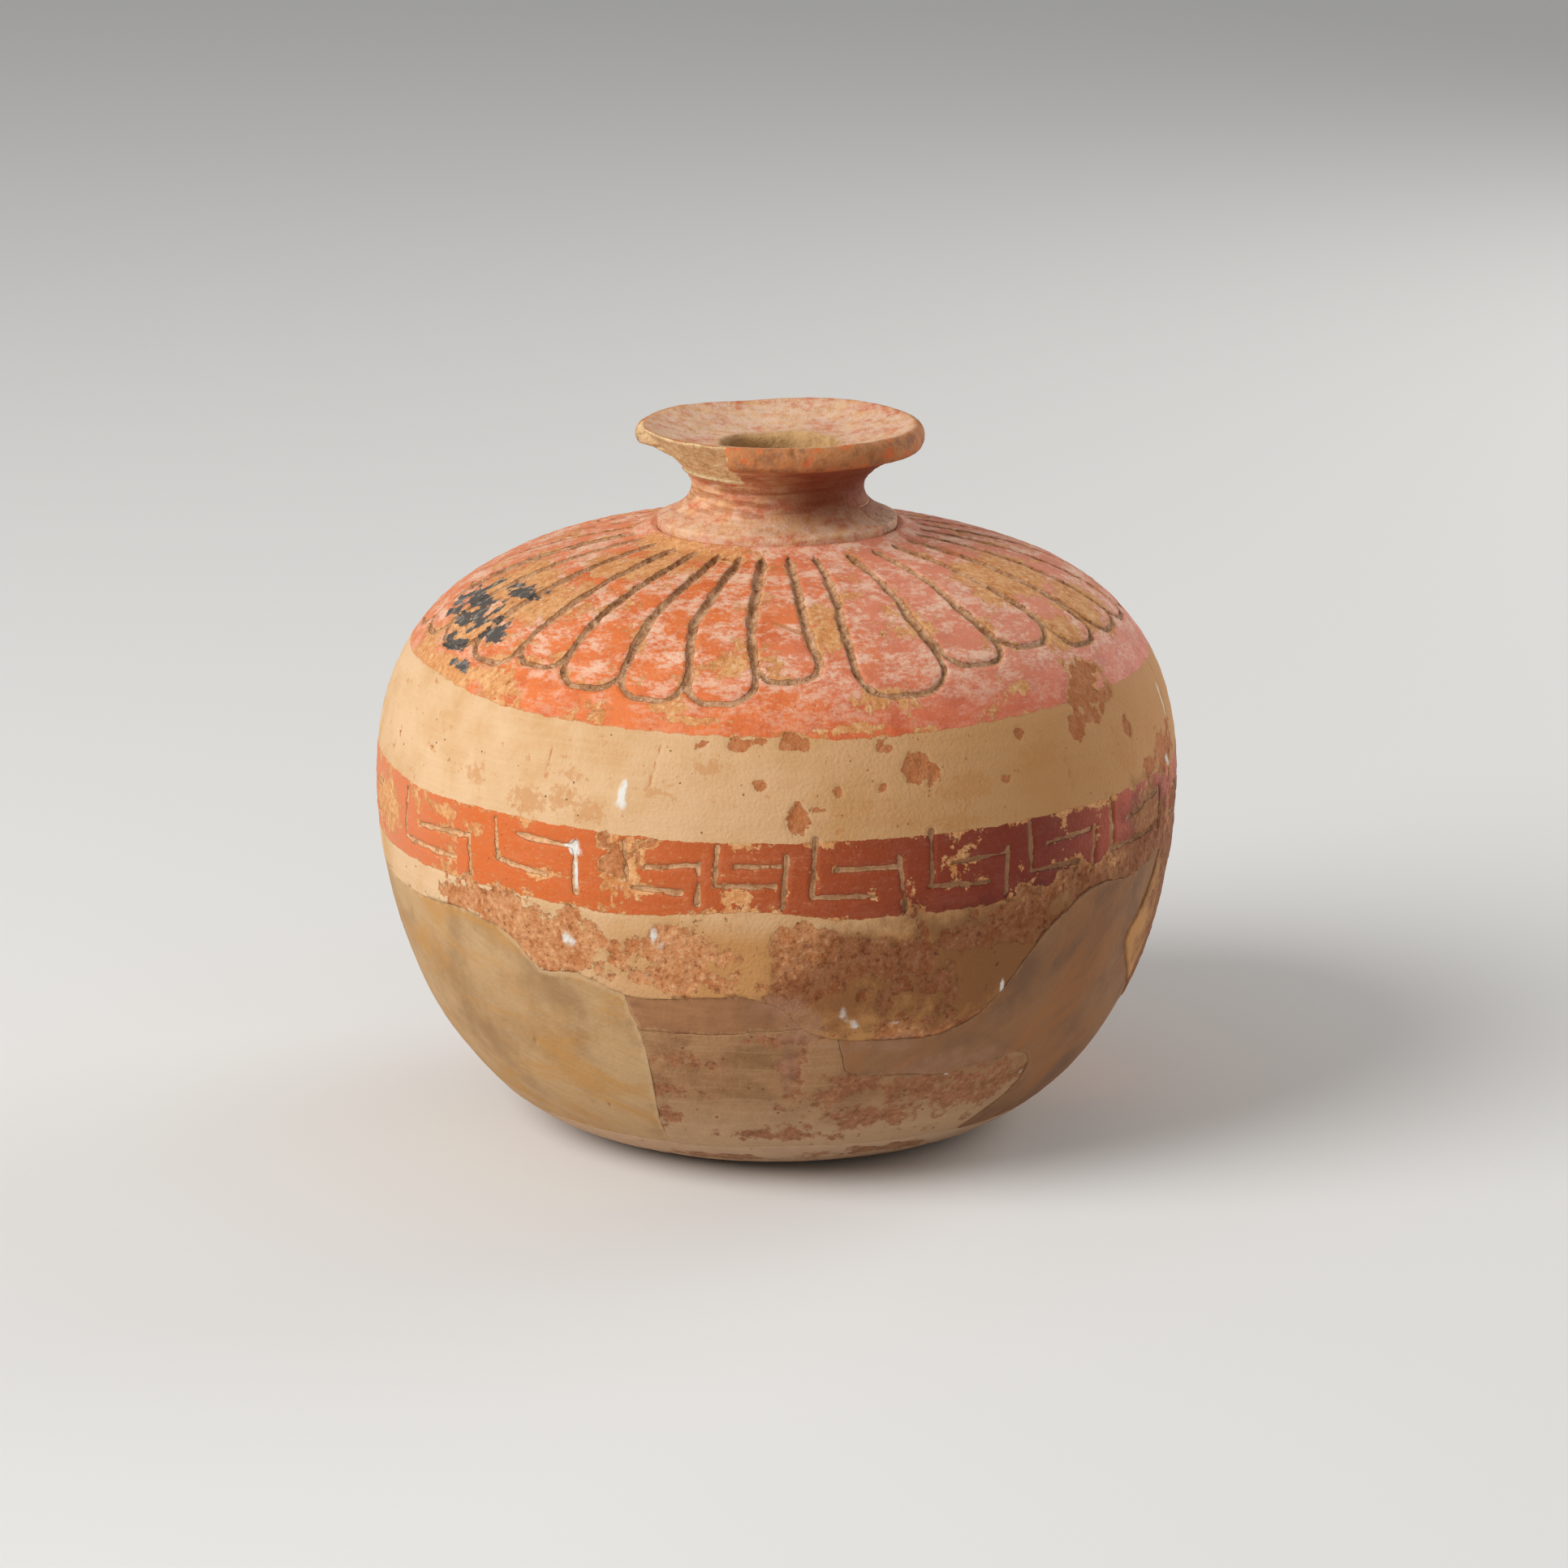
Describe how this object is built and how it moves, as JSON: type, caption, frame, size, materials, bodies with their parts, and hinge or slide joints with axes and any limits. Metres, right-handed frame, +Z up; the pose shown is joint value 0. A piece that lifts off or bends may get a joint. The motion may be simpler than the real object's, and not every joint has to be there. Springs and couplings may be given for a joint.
{
  "type": "painted pottery jar",
  "caption": "Round-bodied painted clay jar with a narrow neck and dished lip, mended from sherds with toned plaster fills; stands free and holds liquid.",
  "frame": {"origin": "centre of the flat underside that the jar stands on", "axes": "+Z up along the jar's turning axis, -Y towards the painted front that the picture shows, +X to that front's right"},
  "size_m": [0.1144, 0.1144, 0.1002],
  "materials": {
    "slipped_clay": "matte slip, incised and worn",
    "slipped_clay_back": "matte slip, worn",
    "bare_clay": "matte, slip mostly lost",
    "bare_clay_base": "matte, bare clay",
    "neck_clay": "matte, rubbed slip",
    "ochre_fill": "toned plaster, matte",
    "brown_fill": "toned plaster, matte",
    "olive_fill": "toned plaster, matte",
    "collar_brown_fill": "toned plaster, matte"
  },
  "bodies": {
    "root": {"front_body_sherd": "slipped_clay", "back_body_sherd": "slipped_clay_back", "lower_front_sherd": "bare_clay", "base_sherd": "bare_clay_base", "neck_and_mouth": "neck_clay", "left_fill": "ochre_fill", "centre_fill": "brown_fill", "right_fill": "olive_fill", "collar_fill": "collar_brown_fill"}
  },
  "joints": []
}
